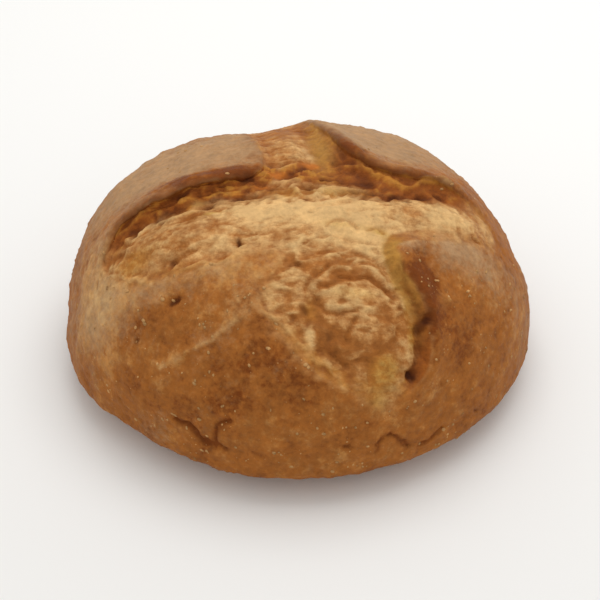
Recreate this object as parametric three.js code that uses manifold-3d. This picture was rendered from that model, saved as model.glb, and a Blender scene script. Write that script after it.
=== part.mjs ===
// A round sourdough loaf, baked on a flat stone and scored with a cross before baking.
//
// The loaf is one closed solid. A superellipse dome stands on a shallower superellipse underside, which the
// oven stone cuts off flat. The four petals of crust between the cuts of the cross have lifted lips, and the
// dough that rose between them fills the four arms of the cross with low mounds.
//
// Millimetres. X runs across the loaf, Y from its front to its back, and Z up. The origin is the middle of
// the footprint, on the sole.
//
// Features on top are placed in crust coordinates: millimetres to the right and to the back of the crown,
// measured along the crust, so that a shape keeps its size as the dome curves down.

import * as THREE from "three";
import { mergeVertices } from "three/addons/utils/BufferGeometryUtils.js";
import Module from "manifold-3d";

// Driving dimensions
const WIDTH = 250;
const DEPTH = 230;
const CROWN_HEIGHT = 113;
const WIDEST_AT = 20; // height of the loaf's widest line above the sole
const SOLE_SAG = 4; // how far the underside would bulge below the stone if it were not flat

// Superellipse exponents: [along the radius, along the height]
const DOME_FULLNESS = [2.62, 2.0];
const UNDERSIDE_FULLNESS = [3.2, 2.0];

const MEAN_RADIUS = (WIDTH + DEPTH) / 4;
const OVALNESS = (WIDTH - DEPTH) / (WIDTH + DEPTH);
const FRONT_SWELL = 0.007; // three-lobed swelling that fills out the front of the outline

// Mesh
const SPHERE_DETAIL = 21; // the icosphere has 20 * (detail + 1)^2 triangles
const GATHER_REACH = 4; // how near a crest or a foot the mesh is drawn onto it
const FULL_GATHER_RISE = 1.5; // lips lower than this gather the mesh less
const CURVE_STEPS = 90;

// Lip profile: share of the lip's rise, by distance from the lip; positive is on the petal
const CREST_AT = 1.5;
const FOOT_AT = -4.5;
const LIP_PROFILE = [
  [-18, 0],
  [-11, -0.35],
  [FOOT_AT, -0.85],
  [CREST_AT, 1],
  [9, 0.6],
  [18, 0.22],
  [34, 0],
];

// The lips of the four petals, as [across, back, rise]. Each runs with its petal on the left.
const PETAL_LIPS = {
  back_left: [
    [-109, -36, 0],
    [-103, -25, 2.5],
    [-91, -14, 4.5],
    [-75, -10, 5.5],
    [-58, -7, 6],
    [-42, -5, 6],
    [-28, -2, 5.5],
    [-19, 3, 3.6],
    [-17, 13, 1.9],
    [-20, 28, 1.7],
    [-26, 46, 1.9],
    [-34, 68, 0],
  ],
  back_right: [
    [-2, 86, 0],
    [3, 68, 2.2],
    [9, 52, 3.6],
    [15, 38, 5.4],
    [20, 27, 6.8],
    [27, 16, 7.5],
    [35, 9, 7.3],
    [48, 4, 7],
    [62, 5, 6.5],
    [76, 7, 5],
    [88, 5, 3],
    [100, 0, 1.6],
    [109, -9, 0],
  ],
  front_right: [
    [105, -16, 0],
    [91, -25, 0.8],
    [72, -32, 1.2],
    [54, -38, 2.6],
    [47, -44, 4.6],
    [49, -53, 6],
    [54, -62, 6],
    [60, -71, 6],
    [65, -82, 5.5],
    [68, -94, 5],
    [67, -104, 4],
    [61, -114, 2.5],
    [53, -123, 0],
  ],
  front_left: [
    [50, -126, 0],
    [39, -121, 1.2],
    [25, -116, 1.8],
    [13, -111, 2],
    [3, -104, 1.8],
    [-5, -96, 1.4],
    [-13, -86, 0.9],
    [-17, -76, 0.6],
    [-12, -64, 0.3],
    [-8, -54, 0.2],
    [-20, -50, 0.6],
    [-36, -54, 1.2],
    [-52, -56, 1.4],
    [-68, -55, 1.3],
    [-82, -54, 1],
    [-97, -46, 0],
  ],
};

// Swells and hollows of the crust, as [across, back, reach across, reach back, height].
// The first six are the dough that rose in the arms of the cross, and the others shape the body.
const SWELLS = [
  [-62, -36, 30, 13, 2.5],
  [18, -30, 26, 16, 2.5],
  [72, -14, 26, 11, 2.2],
  [26, -73, 20, 13, 2.4],
  [39, -92, 15, 13, 1.8],
  [-8, 26, 14, 22, 1],
  [-22, 80, 21, 24, -5.2],
  [50, 74, 32, 26, 1.4],
  [-34, 58, 16, 20, -1.4],
  [-104, 58, 24, 22, 0.2],
  [-128, -120, 24, 22, -2.2],
  [-150, -28, 18, 18, -3],
  [-150, 14, 16, 14, 0.4],
  [96, 44, 22, 20, -1.4],
  [-112, 40, 32, 24, 2.4],
  [-96, -148, 40, 30, -2.6],
  [-48, -164, 28, 24, -0.4],
  [-160, -8, 18, 16, -1.4],
  [130, 22, 20, 18, -4.4],
  [124, 46, 13, 13, -2.2],
  [-74, 56, 16, 14, 1.6],
  [60, -158, 9, 10, -1.4],
  [24, -168, 9, 10, 0.9],
];

// The upright section through the loaf's axis, from the crown over the widest line to under the sole
class Meridian extends THREE.Curve {
  constructor() {
    super();
    this.arcLengthDivisions = 1200;
  }

  getPoint(t, target = new THREE.Vector2()) {
    const underside = t > 0.5;
    const angle = (underside ? t - 0.5 : t) * Math.PI;
    const [along, up] = underside ? UNDERSIDE_FULLNESS : DOME_FULLNESS;
    const sine = Math.sin(angle);
    const cosine = Math.max(0, Math.cos(angle));
    if (underside) {
      const drop = (WIDEST_AT + SOLE_SAG) * sine ** (2 / up);
      return target.set(MEAN_RADIUS * cosine ** (2 / along), WIDEST_AT - drop);
    }
    const climb = (CROWN_HEIGHT - WIDEST_AT) * cosine ** (2 / up);
    return target.set(MEAN_RADIUS * sine ** (2 / along), WIDEST_AT + climb);
  }
}

const meridian = new Meridian();
const meridianLength = meridian.getLength();

// The outline's radius in a direction, as a share of the mean radius
function outlineShare(direction) {
  return (
    1 +
    OVALNESS * Math.cos(2 * direction) +
    FRONT_SWELL * Math.sin(3 * direction)
  );
}

// The smooth loaf's surface point at crust coordinates
function bodyPoint(across, back) {
  const direction = Math.atan2(back, across);
  const share = outlineShare(direction);
  const along = Math.hypot(across, back) / share / meridianLength;
  const point = meridian.getPointAt(Math.min(1, along));
  const radius = point.x * share;
  return new THREE.Vector3(
    radius * Math.cos(direction),
    radius * Math.sin(direction),
    point.y,
  );
}

function bodyNormal(across, back) {
  const step = 0.5;
  const alongX = bodyPoint(across + step, back).sub(
    bodyPoint(across - step, back),
  );
  const alongY = bodyPoint(across, back + step).sub(
    bodyPoint(across, back - step),
  );
  return alongX.cross(alongY).normalize();
}

// Each lip as a list of points on a smooth curve, with the rise carried as the third coordinate
const lips = Object.values(PETAL_LIPS).map((points) =>
  new THREE.CatmullRomCurve3(
    points.map((p) => new THREE.Vector3(...p)),
    false,
    "centripetal",
  ).getPoints(CURVE_STEPS),
);

// The nearest point of a lip: signed distance, positive on the petal, the rise there, and the way to it
function nearestOnLip(lip, across, back) {
  let best = { squared: Infinity };
  for (let i = 0; i + 1 < lip.length; i++) {
    const [from, to] = [lip[i], lip[i + 1]];
    const [runX, runY] = [to.x - from.x, to.y - from.y];
    const run = runX * runX + runY * runY;
    const [x, y] = [across - from.x, back - from.y];
    const share = THREE.MathUtils.clamp((x * runX + y * runY) / run, 0, 1);
    const [wayX, wayY] = [share * runX - x, share * runY - y];
    const squared = wayX * wayX + wayY * wayY;
    if (squared < best.squared) {
      const side = runX * y - runY * x < 0 ? -1 : 1;
      const rise = THREE.MathUtils.lerp(from.z, to.z, share);
      best = { squared, side, rise, wayX, wayY };
    }
  }
  return { ...best, distance: best.side * Math.sqrt(best.squared) };
}

function lipShare(distance) {
  const next = LIP_PROFILE.findIndex(([at]) => distance < at);
  if (next <= 0) return 0;
  const [from, low] = LIP_PROFILE[next - 1];
  const [to, high] = LIP_PROFILE[next];
  return (
    low + (high - low) * THREE.MathUtils.smoothstep(distance, from, to)
  );
}

function swellHeight(across, back) {
  return SWELLS.reduce((sum, [x, y, reachX, reachY, height]) => {
    const [u, v] = [(across - x) / reachX, (back - y) / reachY];
    return sum + height * Math.exp(-(u * u + v * v));
  }, 0);
}

// Draws a crust point near a lip onto the lip's crest or foot, so that edges of the mesh run along them
function gathered(across, back) {
  const near = lips
    .map((lip) => nearestOnLip(lip, across, back))
    .reduce((a, b) => (b.squared < a.squared ? b : a));
  const middle = (CREST_AT + FOOT_AT) / 2;
  const gap = near.distance - (near.distance > middle ? CREST_AT : FOOT_AT);
  const nearness = Math.exp(-((gap / GATHER_REACH) ** 4));
  const strength = Math.min(1, near.rise / FULL_GATHER_RISE);
  const pull = (gap * nearness * strength) / near.distance;
  return [across + near.wayX * pull, back + near.wayY * pull];
}

function crustPoint(startAcross, startBack) {
  const [across, back] = gathered(startAcross, startBack);
  let offset = swellHeight(across, back);
  for (const lip of lips) {
    const near = nearestOnLip(lip, across, back);
    offset += near.rise * lipShare(near.distance);
  }
  return bodyPoint(across, back).addScaledVector(
    bodyNormal(across, back),
    offset,
  );
}

// A three.js geometry as a manifold-3d solid, and back
function solidOf(wasm, geometry) {
  const bare = geometry.clone();
  bare.deleteAttribute("normal");
  bare.deleteAttribute("uv");
  const merged = mergeVertices(bare, 1e-4);
  return new wasm.Manifold(
    new wasm.Mesh({
      numProp: 3,
      vertProperties: merged.attributes.position.array,
      triVerts: new Uint32Array(merged.index.array),
    }),
  );
}

function geometryOf(solid) {
  const mesh = solid.getMesh();
  const geometry = new THREE.BufferGeometry();
  geometry.setAttribute(
    "position",
    new THREE.BufferAttribute(new Float32Array(mesh.vertProperties), 3),
  );
  geometry.setIndex(new THREE.BufferAttribute(mesh.triVerts, 1));
  geometry.computeVertexNormals();
  return geometry;
}

// The loaf before it is cut flat: an icosphere whose points are laid out along the crust
function looseLoaf() {
  const geometry = mergeVertices(
    new THREE.IcosahedronGeometry(1, SPHERE_DETAIL).deleteAttribute("uv"),
    1e-4,
  );
  geometry.deleteAttribute("normal");
  const merged = mergeVertices(geometry, 1e-4);
  const position = merged.getAttribute("position");
  for (let i = 0; i < position.count; i++) {
    const way = new THREE.Vector3().fromBufferAttribute(position, i);
    const direction = Math.atan2(way.y, way.x);
    const fromTop = Math.acos(THREE.MathUtils.clamp(way.z, -1, 1)) / Math.PI;
    const reach = fromTop * meridianLength * outlineShare(direction);
    const point = crustPoint(
      reach * Math.cos(direction),
      reach * Math.sin(direction),
    );
    position.setXYZ(i, point.x, point.y, point.z);
  }
  return merged;
}

const wasm = await Module();
wasm.setup();

const stone = new THREE.BoxGeometry(2 * WIDTH, 2 * DEPTH, 4 * SOLE_SAG);
stone.translate(0, 0, -2 * SOLE_SAG);
const baked = solidOf(wasm, looseLoaf()).subtract(solidOf(wasm, stone));

const loafGeometry = geometryOf(baked);
loafGeometry.computeBoundingBox();
const middle = loafGeometry.boundingBox.getCenter(new THREE.Vector3());
loafGeometry.translate(-middle.x, -middle.y, 0);

const crust = new THREE.MeshStandardMaterial({
  name: "crust",
  color: new THREE.Color(0.66, 0.44, 0.25),
  roughness: 0.8,
  metalness: 0,
});

const loaf = new THREE.Mesh(loafGeometry, crust);
loaf.name = "loaf";

const sourdoughLoaf = new THREE.Group();
sourdoughLoaf.add(loaf);

export default sourdoughLoaf;
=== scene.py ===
"""A round sourdough loaf, scored with a cross, with its burst dough, its crust and its studio stage.

The loaf's features are placed in crust coordinates: millimetres to the right of the crown and to the back of
it, measured along the crust. The opening's outline runs along the four lips of the cross, and most of what
happens near a lip is worked out from the distance to that outline, positive on the crust and negative on
the dough that burst out of the cuts.
"""

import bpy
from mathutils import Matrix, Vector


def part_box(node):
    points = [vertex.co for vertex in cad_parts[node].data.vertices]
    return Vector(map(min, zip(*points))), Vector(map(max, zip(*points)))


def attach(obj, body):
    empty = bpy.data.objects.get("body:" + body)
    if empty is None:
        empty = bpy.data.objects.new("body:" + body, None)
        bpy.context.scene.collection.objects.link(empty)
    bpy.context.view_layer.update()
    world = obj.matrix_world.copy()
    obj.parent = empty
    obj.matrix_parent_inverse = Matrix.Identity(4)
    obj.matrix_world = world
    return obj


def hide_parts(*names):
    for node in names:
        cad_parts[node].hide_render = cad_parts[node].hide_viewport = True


bl_info = {
    "name": "Sourdough Loaf",
    "version": (1, 0, 0),
    "blender": (4, 5, 0),
    "location": "3D View > Sidebar > Bakery",
    "description": "Shapes, crusts and stages a round sourdough loaf scored with a cross",
    "category": "Add Mesh",
}

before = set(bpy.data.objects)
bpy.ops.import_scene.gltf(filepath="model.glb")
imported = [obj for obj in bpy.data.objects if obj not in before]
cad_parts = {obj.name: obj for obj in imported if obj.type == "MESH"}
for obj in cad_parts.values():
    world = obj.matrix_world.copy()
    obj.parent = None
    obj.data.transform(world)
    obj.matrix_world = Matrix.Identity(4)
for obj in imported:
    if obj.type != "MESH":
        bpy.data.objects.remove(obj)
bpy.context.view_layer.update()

import itertools
import math

import bmesh
import bpy
import numpy as np
from mathutils import Euler, Vector, kdtree

CAD_LOW, CAD_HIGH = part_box("loaf")
BODY = "root"
NODE = "loaf"
MM = 0.001

# The body, in millimetres where it has a unit
CROWN_HEIGHT = 113.0
WIDEST_AT = 20.0
SOLE_SAG = 4.0
SOLE_EDGE = 1.6
DOME_FULLNESS = (2.62, 2.0)
UNDERSIDE_FULLNESS = (3.2, 2.0)
FRONT_SWELL = 0.007

# The mesh: quads along a cube's edge, the share of arc length on top, and how it gathers along the lips
CUBE_CUTS = 127
TOP_SHARE = 0.82
GATHER = 0.6
GATHER_REACH = 13.0

# What a lip does across its line: distance, shift over the opening, shift under the crust, rise, sinking
LIP_SECTION = (
    (-26.0, 0.0, 0.0, 0.0, 0.0),
    (-18.0, 0.0, 0.0, 0.0, -0.12),
    (-12.0, 0.0, 0.0, 0.0, -0.42),
    (-8.5, 0.0, 0.05, 0.0, -0.80),
    (-6.0, 0.0, 0.35, 0.0, -1.0),
    (-4.5, 0.0, 0.8, 0.0, -0.85),
    (-3.0, 0.0, 1.0, 0.08, -0.45),
    (-1.5, 0.0, 0.75, 0.22, -0.12),
    (0.0, 0.15, 0.3, 0.42, 0.0),
    (1.5, 0.7, 0.0, 0.62, 0.0),
    (2.7, 1.0, 0.0, 0.84, 0.0),
    (3.9, 0.8, 0.0, 1.0, 0.0),
    (6.0, 0.35, 0.0, 0.98, 0.0),
    (9.0, 0.1, 0.0, 0.72, 0.0),
    (15.0, 0.0, 0.0, 0.32, 0.0),
    (24.0, 0.0, 0.0, 0.08, 0.0),
    (34.0, 0.0, 0.0, 0.0, 0.0),
)
SECTION_SOFTNESS = 0.7
SECTION_STEP = 0.1
SECTION_MARGIN = 6.0
SOFTENING_REACH = 4.0

# Each lip runs with its petal on the left: its points as (across, back, rise), then how far its edge
# hangs over, how far it is undercut, how deep its foot sinks, how wide its cliff spreads, how dark its
# edge is with char and painted shade, how stringy and how scorched its torn face is, and how softly
# its crust turns into dough
LIPS = {
    "back_left": {
        "points": (
            (-109, -36, 0), (-103, -25, 2.5), (-91, -14, 4.5), (-75, -10, 5.5),
            (-58, -7, 6), (-42, -5, 6), (-28, -2, 5.5), (-19, 3, 3.6),
            (-17, 13, 1.9), (-20, 28, 1.7), (-26, 46, 1.9), (-34, 68, 0),
        ),
        "hang": 3.6, "undercut": 2.8, "sink": 4.2, "spread": 1.3,
        "char": 1.0, "strings": 1.0, "scorch": 0.54, "soft": 0.4,
    },
    "back_right": {
        "points": (
            (-2, 86, 0), (3, 68, 2.2), (9, 52, 3.6), (15, 38, 5.4),
            (20, 27, 6.8), (27, 16, 7.5), (35, 9, 7.3), (48, 4, 7),
            (62, 5, 6.5), (76, 7, 5), (88, 5, 3), (100, 0, 1.6),
            (109, -9, 0),
        ),
        "hang": 2.8, "undercut": 1.4, "sink": 2.8, "spread": 2.35,
        "char": 1.0, "strings": 0.4, "scorch": 0.48, "soft": 0.2,
    },
    "front_right": {
        "points": (
            (105, -16, 0), (91, -25, 0.8), (72, -32, 1.2), (54, -38, 2.6),
            (47, -44, 4.6), (49, -53, 6), (54, -62, 6), (60, -71, 6),
            (65, -82, 5.5), (68, -94, 5), (67, -104, 4), (61, -114, 2.5),
            (53, -123, 0),
        ),
        "hang": 1.0, "undercut": 0.5, "sink": 2.4, "spread": 0.75,
        "char": 0.0, "strings": 0.0, "scorch": 0.6, "soft": 0.5,
    },
    "front_left": {
        "points": (
            (50, -126, 0), (39, -121, 1.2), (25, -116, 1.8), (13, -111, 2.0),
            (3, -104, 1.8), (-5, -96, 1.4), (-13, -86, 0.9), (-17, -76, 0.6),
            (-12, -64, 0.3), (-8, -54, 0.2), (-20, -50, 0.6), (-36, -54, 1.2),
            (-52, -56, 1.4), (-68, -55, 1.3), (-82, -54, 1.0), (-97, -46, 0),
        ),
        "hang": 0.5, "undercut": 0.3, "sink": 1.0, "spread": 1.0,
        "char": 0.0, "strings": 0.0, "scorch": 0.0, "soft": 1.0,
    },
}
LIP_STEPS = 8
LEAST_SPREAD = 0.5

# Broad swells and hollows: (across, back, reach across, reach back, height)
SWELLS = (
    (-62, -36, 30, 13, 2.5),
    (18, -30, 26, 16, 2.5),
    (72, -14, 26, 11, 2.2),
    (26, -73, 20, 13, 2.4),
    (39, -92, 15, 13, 1.8),
    (-8, 26, 14, 22, 1.0),
    (-22, 80, 21, 24, -5.2),
    (50, 74, 32, 26, 1.4),
    (-34, 58, 16, 20, -1.4),
    (-104, 58, 24, 22, 0.2),
    (-128, -120, 24, 22, -2.2),
    (-150, -28, 18, 18, -3.0),
    (-150, 14, 16, 14, 0.4),
    (96, 44, 22, 20, -1.4),
    (-112, 40, 32, 24, 2.4),
    (-96, -148, 40, 30, -2.6),
    (-48, -164, 28, 24, -0.4),
    (-160, -8, 18, 16, -1.4),
    (130, 22, 20, 18, -4.4),
    (124, 46, 13, 13, -2.2),
    (-74, 56, 16, 14, 1.6),
    (60, -158, 9, 10, -1.4),
    (24, -168, 9, 10, 0.9),
)

# Pillows of dough that pushed past each other: (across, back, half length, half width, turn, height)
PILLOWS = (
    (15, -73, 11, 7, 12, 1.2),
    (32, -73, 13, 7.5, -4, 1.5),
    (51, -76, 5, 4.5, 0, 1.2),
    (6, -94, 4, 7, 10, 1.3),
    (33, -90, 10, 7.5, 0, 1.2),
    (43, -89, 6, 6.5, 0, 1.3),
    (30, -100, 14, 4.5, -5, 0.9),
    (49, -108, 14, 8, -32, 0.9),
    (30, -112, 13, 5, -25, 0.8),
    (12, -104, 9, 4, -40, 0.7),
    (20, -57, 22, 5, 4, 0.8),
    (36, -50, 14, 5, 10, 0.8),
    (-52, -37, 30, 11, 3, 0.7),
    (-84, -34, 13, 10, 20, 0.7),
    (20, -33, 15, 7, -5, 0.7),
    (-6, -27, 16, 9, 10, 0.6),
    (70, -18, 28, 10, 4, 0.7),
    (-4, 28, 9, 18, -10, 0.6),
)

# Holes and slits, darkened with painted shade: (across, back, half length, half width, turn, depth)
PITS = (
    (-29, -44, 2.6, 1.1, 80, 2.4),
    (-63, -49, 2.4, 1.5, 40, 1.8),
    (-63, -70, 4.0, 1.9, 15, 2.4),
    (-89, -82, 2.0, 1.2, 40, 1.8),
    (63, -107, 2.6, 2.3, 0, 3.4),
    (64, -83, 1.8, 5.2, -3, 2.0),
    (66, -79, 1.2, 2.4, 0, 2.8),
    (-7, -76, 2.4, 1.6, 15, 1.3),
    (-3, -87, 1.6, 1.2, 30, 1.1),
    (3, -82, 1.6, 3.4, 25, 1.5),
    (6, -88, 1.5, 1.8, 0, 1.3),
    (15, -94, 1.5, 4.6, 12, 1.1),
    (12, -101, 3.0, 1.4, 15, 1.1),
    (52, -76, 1.9, 1.7, 0, 1.7),
    (9, -76, 3.0, 1.1, -30, 1.0),
    (-14, -66, 2.6, 1.2, 20, 0.9),
    (-8, -68, 1.6, 1.0, 0, 0.8),
    (0, -59, 2.0, 1.4, 0, 1.3),
    (31, -148, 4.2, 1.6, 0, 1.2),
    (83, -107, 1.8, 1.3, 0, 1.0),
    (122, -109, 2.0, 1.2, 20, 1.2),
    (-118, -104, 1.0, 2.4, 10, 1.0),
    (-113, -38, 0.9, 3.4, -25, 1.2),
    (-105, -28, 1.2, 2.2, 0, 1.2),
    (102, -10, 2.2, 1.6, 0, 2.4),
    (94, -21, 3.2, 0.8, -20, 1.2),
    (58, -43, 2.2, 0.7, 15, 0.8),
    (-7, 2, 3.4, 1.6, 25, 1.5),
    (2, 8, 5.5, 1.9, 30, 1.7),
    (13, 2, 2.4, 1.3, 0, 1.8),
    (6, -6, 2.6, 1.0, 0, 1.6),
    (-12, -16, 2.2, 1.0, 0, 1.5),
    (-5, -17, 1.6, 1.0, 0, 1.4),
    (4, -16, 1.9, 1.1, 0, 1.6),
    (12, -10, 2.4, 1.1, 0, 1.2),
    (6, -28, 1.2, 0.9, 0, 1.1),
    (28, -27, 1.1, 0.8, 0, 0.8),
    (-7, 11, 2.2, 1.4, 0, 1.6),
    (34, 0, 6.0, 1.5, -8, 2.0),
    (36, -8, 7.0, 1.3, -4, 1.8),
    (49, -8, 5.0, 1.3, 4, 2.2),
    (55, -11, 3.0, 1.1, 8, 2.0),
    (64, -4, 4.5, 1.5, 12, 2.2),
    (73, 1, 3.2, 1.2, 10, 2.0),
    (32, 20, 3.4, 2.0, -50, 1.8),
    (-87, -19, 3.2, 1.4, 40, 2.0),
    (-70, -19, 3.0, 1.3, 10, 1.8),
    (-25, -1, 5.0, 1.4, 8, 1.6),
    (-27, -11, 5.5, 1.4, 5, 2.6),
    (-45, -15, 4.0, 1.3, 5, 2.0),
)

# Cracks in the crust and folds in the dough: points, half width and depth
CREASES = (
    (((-78, -126), (-70, -131), (-65, -139), (-54, -144), (-48, -148)), 1.4, 1.9),
    (((-54, -146), (-52, -139), (-46, -135), (-40, -133)), 1.3, 1.7),
    (((53, -149), (52, -142), (56, -138), (64, -139), (73, -142)), 1.1, 1.6),
    (((84, -141), (90, -136), (98, -128)), 1.1, 1.3),
    (((58, 150), (68, 143), (79, 145), (92, 137)), 1.1, 1.5),
    (((-104, 118), (-95, 127), (-97, 135)), 1.1, 1.4),
    (((-63, -50), (-57, -48), (-49, -46)), 0.8, 1.4),
    (((10, -71), (17, -68), (25, -65), (32, -64), (39, -66), (47, -71)), 1.0, 1.8),
    (((25, -67), (24, -71), (22, -75)), 0.9, 0.5),
    (((8, -78), (12, -81), (17, -83.5), (24, -83), (31, -80)), 1.0, 1.1),
    (((28, -86), (26, -91), (22, -97)), 1.0, 1.5),
    (((51, -85), (50, -92), (45, -98), (37, -101)), 0.9, 1.0),
    (((18, -103), (27, -106), (37, -104)), 1.0, 1.1),
    (((4, -73), (5, -69), (9, -64), (15, -61)), 0.9, 1.1),
    (((14, -38), (17, -34), (24, -33), (29, -37)), 0.8, 1.3),
    (((34, -37), (38, -34.5), (43, -36)), 0.8, 1.1),
    (((2, -47), (16, -43), (34, -45)), 0.9, 0.7),
    (((10, -52), (24, -50), (38, -53)), 0.9, 0.9),
    (((52, -24), (64, -25), (80, -22)), 0.8, 0.4),
    (((49, -54), (53, -62), (58, -70), (62, -77)), 0.8, 0.8),
    (((64, -89), (64, -96), (63, -103)), 0.8, 1.2),
    (((-64, -24), (-50, -22), (-42, -27), (-38, -36)), 0.8, 0.8),
    (((-92, -29), (-82, -26), (-76, -30)), 0.8, 0.8),
    (((-20, -40), (-34, -33), (-42, -35)), 0.7, 0.6),
)

# Ridges that folds of dough left: points, half width and height
RIDGES = (
    (((-77, -99), (-60, -96), (-49, -93), (-38, -89), (-26, -82)), 1.8, 1.0),
    (((7, -72), (12, -65), (22, -61), (34, -60), (44, -63), (52, -69)), 1.7, 0.6),
    (((13, -80), (26, -80.5), (39, -79.5)), 1.4, 0.9),
    (((-12, -84), (-3, -93), (5, -101), (15, -109), (25, -116)), 1.7, 1.1),
    (((-61, -52), (-48, -55), (-37, -55), (-30, -52)), 1.3, 0.9),
    (((-94, -44), (-86, -50), (-78, -54)), 1.6, 1.1),
    (((24, 11), (36, 6), (47, 0), (58, 1), (68, 7), (78, 8)), 1.3, 1.7),
    (((-92, -22), (-78, -18), (-64, -19), (-48, -16), (-38, -13)), 1.4, 1.4),
    (((-62, -10), (-46, -9), (-30, -6), (-20, -5)), 1.3, 1.2),
)

# Patches, all as (across, back, reach across, reach back, amount); an amount below zero takes away
# Where the crust baked darker
BAKE_PATCHES = (
    (-74, -76, 18, 8, 0.06),
    (-92, -76, 10, 8, 0.2),
    (-9, -100, 24, 20, 0.20),
    (-54, -128, 50, 26, 0.12),
    (61, -72, 9, 30, 0.62),
    (66, -60, 8, 12, 0.2),
    (60, -98, 6, 10, 0.1),
    (92, -88, 30, 34, -0.07),
    (-112, -50, 26, 25, -0.5),
    (-36, -60, 40, 12, -0.3),
    (97, -80, 16, 16, 0.34),
    (26, -156, 24, 14, -0.26),
    (-4, -134, 22, 14, 0.06),
    (60, -126, 22, 12, -0.15),
    (20, 160, 160, 60, 0.10),
    (-40, 1, 40, 6, 0.5),
    (25, 19, 6, 7, 0.45),
)

# Where flour lies thick, or was rubbed off
FLOUR_PATCHES = (
    (-100, -129, 18, 12, 0.35),
    (-72, 24, 66, 42, 0.92),
    (40, 54, 56, 42, 0.95),
    (86, -34, 34, 14, 0.75),
    (54, -42, 8, 8, 0.5),
    (-10, 120, 120, 60, 0.6),
    (-112, -54, 24, 26, 0.6),
    (-40, -60, 34, 9, 0.3),
    (-78, -60, 14, 8, 0.4),
    (44, 31, 12, 9, 0.55),
    (-52, -98, 50, 24, 0.1),
    (-40, 1, 40, 6, -0.8),
    (24, 18, 7, 7, -0.9),
    (60, -72, 9, 34, -0.4),
    # The last two rows make the crust paler and greyer on the left and right flanks
    (150, -30, 30, 40, 0.3),
    (-150, -40, 30, 40, 0.3),
)

# Where the crust is as pale as the dough
FAIR_CRUST = (
    (-102, -26, 8, 9, 0.3),
    (-112, -50, 24, 22, 0.45),
    (-34, -58, 34, 7, 0.25),
    (-26, -78, 16, 11, 0.32),
    (-118, -14, 16, 20, 0.3),
    (112, -40, 16, 20, 0.2),
)

# Where the dough away from the lips is torn like the faces under them
TORN_SPOTS = (
    (-6, 5, 9, 4, 0.8),
    (9, 6, 13, 8, 2.2),
    (-14, -9, 9, 6, 1.0),
    (42, -9, 10, 4, 0.9),
    (24, 6, 9, 7, 1.0),
    (28, -9, 9, 4, 0.9),
    (-34, -10, 8, 3, 0.5),
    (-46, -15, 12, 2.5, 0.6),
    (-56, -20, 10, 3, 0.4),
    (14, -101, 5, 3, 0.5),
)

# Where the dough is rougher or smoother than elsewhere
ROUGH_DOUGH = (
    (-12, 40, 18, 22, -0.25),
    (20, -46, 26, 8, 0.5),
    (24, -58, 30, 12, 0.3),
    (28, -90, 30, 22, 0.2),
    (0, 0, 30, 16, 1.1),
    (24, -10, 26, 8, 0.9),
    (-10, -70, 16, 16, 0.5),
    (-98, -36, 12, 14, 0.8),
)

# Where the dough baked pale
PALE_DOUGH = (
    (20, 34, 8, 12, 0.6),
    (0, -51, 40, 6, 0.6),
    (26, -82, 14, 4, 0.9),
    (27, -38, 8, 4, 1.8),
    (20, -30, 26, 10, 0.7),
    (-20, -24, 26, 10, 0.6),
    (66, -16, 32, 9, 0.6),
    (20, -44, 22, 5, 0.5),
    (46, -50, 6, 10, 0.9),
    (24, -74, 15, 4.5, 0.9),
    (33, -90, 8, 4, 0.3),
    (45, -90, 4, 4, 0.3),
    (6, -95, 2.6, 5, 1.2),
)

# Where the dough baked brown
BROWN_DOUGH = (
    (27, -93, 12, 5, 0.6),
    (-38, -34, 10, 6, 0.4),
    (46, -47, 8, 6, 0.5),
    (-4, -11, 10, 6, 0.7),
    (96, -18, 9, 7, 0.9),
    (54, -19, 13, 7, 1.0),
    (-2, -40, 12, 6, 0.6),
    (-54, -20, 14, 5, 0.6),
    (-88, -45, 10, 8, 0.6),
    (14, -56, 40, 10, 0.6),
    (26, -88, 34, 24, 1.3),
    (40, -112, 22, 10, 0.3),
    (-12, 44, 18, 32, 0.75),
    (-66, -36, 30, 12, 0.5),
    (-50, -56, 46, 6, 0.5),
    (-92, -32, 18, 12, 0.4),
)

# Painted glow: where thin moist dough is painted a glowing orange
GLOWING_SPOTS = (
    (-10, 4, 5, 2.0, 1.3),
    (6, 13, 5, 2.6, 1.4),
    (-18, -4, 5, 1.6, 0.9),
    (-30, -9, 8, 1.2, 0.5),
)

# Where the dough stayed moist and yellow
OLIVE_DOUGH = (
    (47, -46, 6, 8, 1.2),
    (51, -59, 5, 9, 1.1),
    (57, -72, 5, 9, 0.8),
    (61, -88, 4, 9, 0.8),
    (46, -106, 10, 9, 1.1),
    (44, -126, 9, 12, 0.8),
    (27, -73, 16, 5, 0.5),
    (8, 46, 5, 18, 0.7),
    (13, 24, 6, 16, 0.8),
    (-51, -12, 5, 2, 0.6),
    (-43, -22, 7, 1.6, 0.8),
    (-70, -36, 30, 12, 0.3),
    (20, -36, 12, 4, 0.6),
    (39, -36, 6, 3, 0.8),
    (-4, -11, 10, 6, 0.6),
    (16, -9, 9, 6, 0.6),
    (30, -8, 8, 4, 0.4),
    (-86, -42, 12, 9, 0.5),
    (6, -83, 6, 7, 0.6),
)
SPOT_MASKS = {"pale": PALE_DOUGH, "brown": BROWN_DOUGH, "glow": GLOWING_SPOTS, "olive": OLIVE_DOUGH}

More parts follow.
